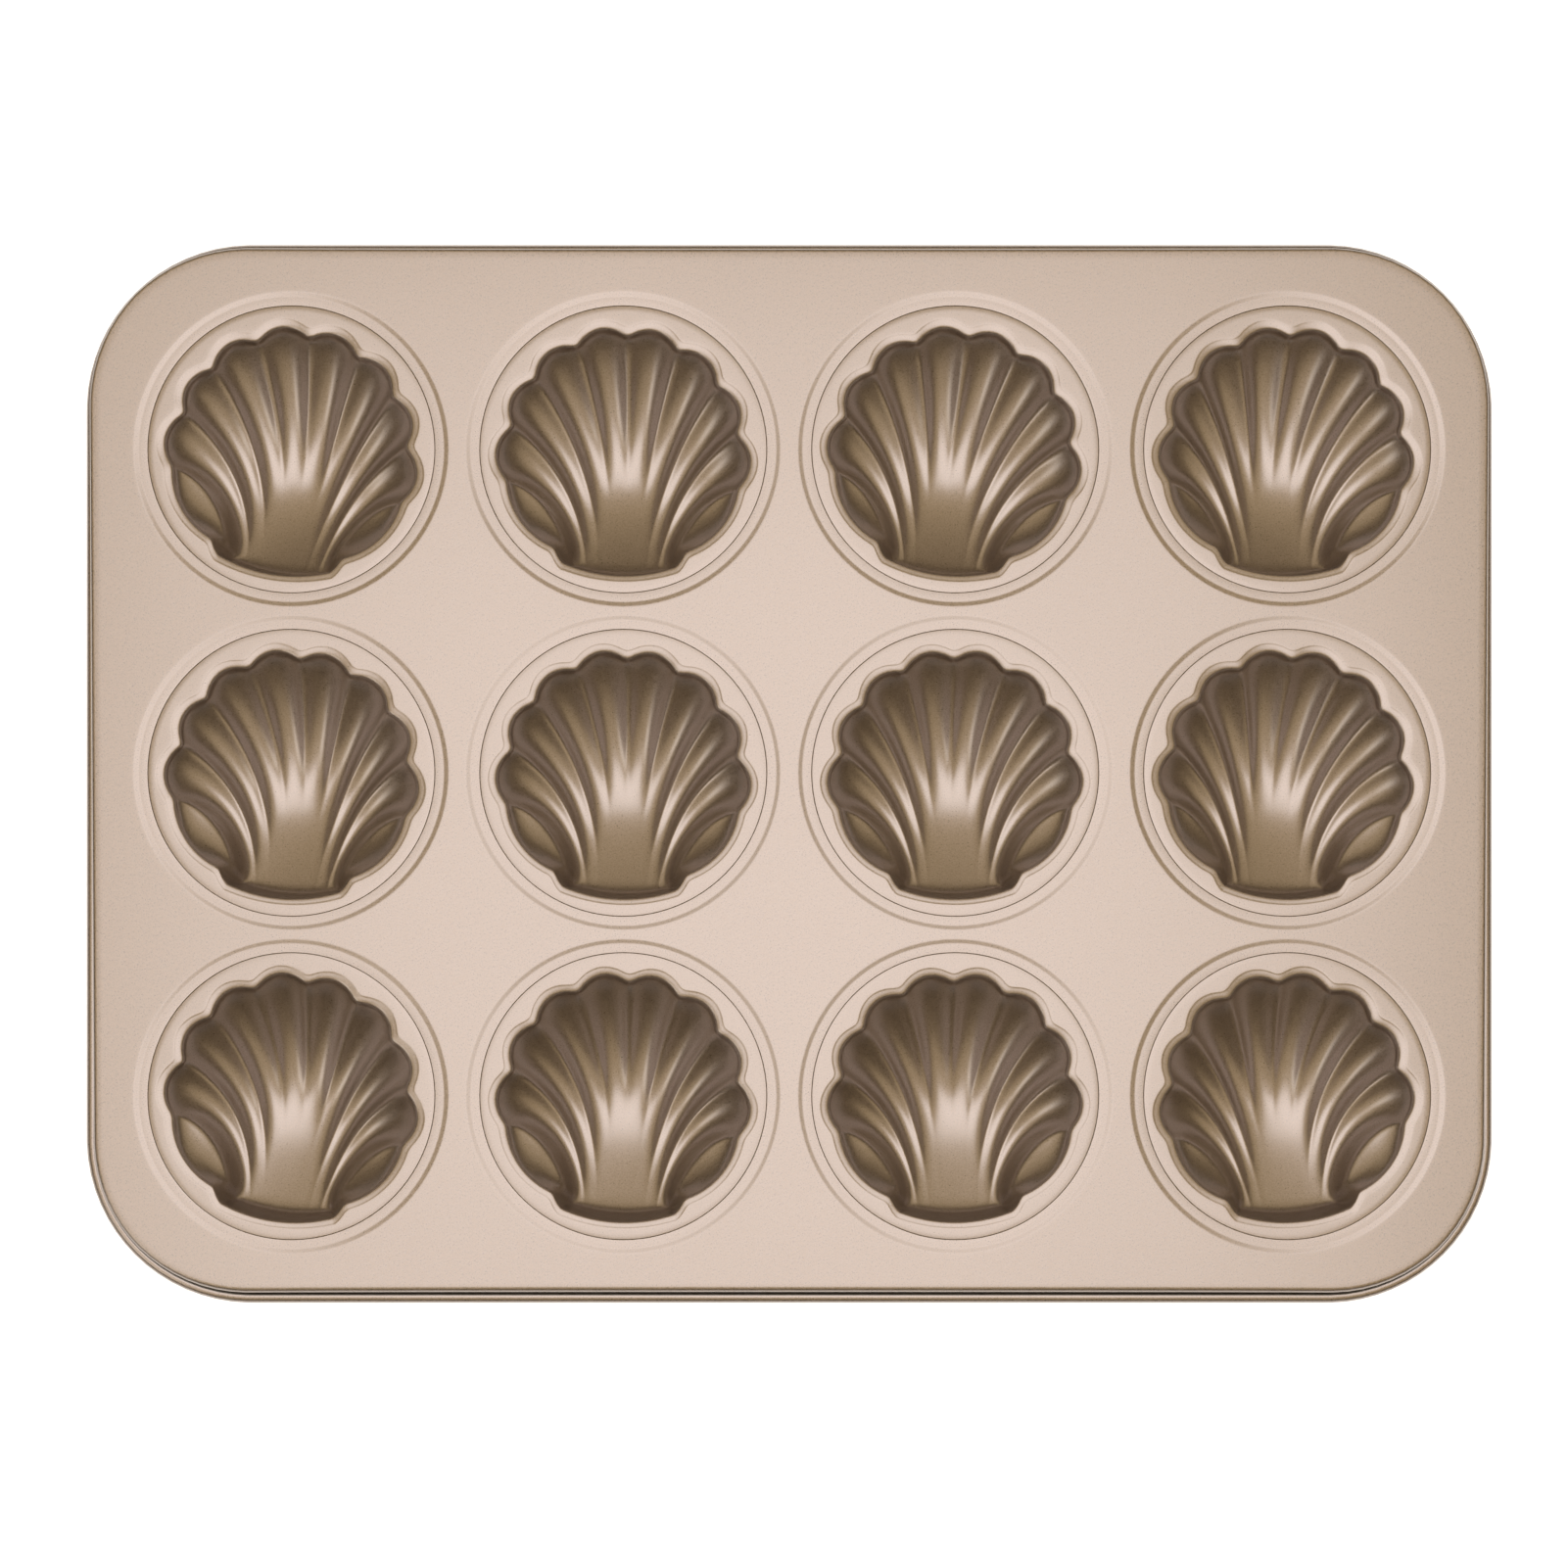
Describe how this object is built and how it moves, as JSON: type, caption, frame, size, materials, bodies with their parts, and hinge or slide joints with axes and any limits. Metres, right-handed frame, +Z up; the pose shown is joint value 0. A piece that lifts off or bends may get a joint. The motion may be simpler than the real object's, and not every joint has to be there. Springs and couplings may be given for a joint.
{
  "type": "madeleine pan",
  "caption": "Flat rectangular baking pan with rounded corners, a wired rolled edge and a grid of shallow fluted scallop-shell cups on round flanges.",
  "frame": {"origin": "on the surface the pan stands on, under the middle of the tray", "axes": "+Z up out of the cups, +X along the long side, -Y towards the hinge ends of the shells"},
  "size_m": [0.35, 0.2634, 0.0191],
  "materials": {
    "tray": "satin champagne-gold release coat over steel sheet",
    "cup": "satin champagne-gold release coat over thin pressed steel",
    "wire": "plain drawn steel"
  },
  "bodies": {
    "root": {"tray_sheet": "tray", "rim_wire": "wire", "shell_cup_r1c1": "cup", "shell_cup_r1c2": "cup", "shell_cup_r1c3": "cup", "shell_cup_r1c4": "cup", "shell_cup_r2c1": "cup", "shell_cup_r2c2": "cup", "shell_cup_r2c3": "cup", "shell_cup_r2c4": "cup", "shell_cup_r3c1": "cup", "shell_cup_r3c2": "cup", "shell_cup_r3c3": "cup", "shell_cup_r3c4": "cup"}
  },
  "joints": []
}
